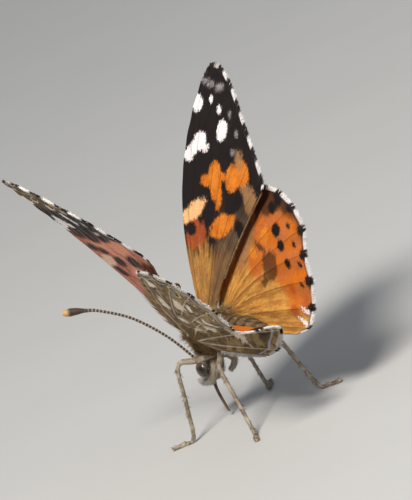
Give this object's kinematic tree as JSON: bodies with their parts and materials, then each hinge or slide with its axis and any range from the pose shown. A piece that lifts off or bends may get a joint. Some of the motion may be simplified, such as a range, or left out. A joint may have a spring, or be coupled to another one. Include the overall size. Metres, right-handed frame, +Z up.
{
  "type": "butterfly",
  "caption": "Painted lady butterfly at life size, standing on its feet with both pairs of patterned wings raised in a V",
  "frame": {"origin": "On the floor, at the middle of the whole model's box seen from above", "axes": "+X points to where the head faces, +Y to the butterfly's left, +Z up; the feet stand on z = 0"},
  "size_m": [0.0372, 0.0314, 0.0399],
  "materials": {
    "head": "brown-black chitin under grey-tan hair",
    "thorax": "dark chitin under long tawny and olive hair",
    "abdomen": "brown scales with pale tawny bands",
    "proboscis": "dark horny tube",
    "eye": "glossy brown compound eye with darker patches",
    "palp": "pale grey-tan scales and hair",
    "antenna": "dark shaft with fine pale rings and a pale club tip",
    "forewing": "scaled membrane, orange and black with white marks, checkered fringe",
    "hindwing": "scaled membrane, orange with black spots, checkered fringe",
    "leg": "tan scaled legs with small spines"
  },
  "bodies": {
    "root": {"head": "head", "thorax": "thorax", "abdomen": "abdomen", "proboscis": "proboscis", "eye_left": "eye", "eye_right": "eye", "palp_left": "palp", "palp_right": "palp", "antenna_left": "antenna", "antenna_right": "antenna", "forewing_left": "forewing", "forewing_right": "forewing", "hindwing_left": "hindwing", "hindwing_right": "hindwing", "foreleg_left": "leg", "foreleg_right": "leg", "midleg_left": "leg", "midleg_right": "leg", "hindleg_left": "leg", "hindleg_right": "leg"}
  },
  "joints": []
}
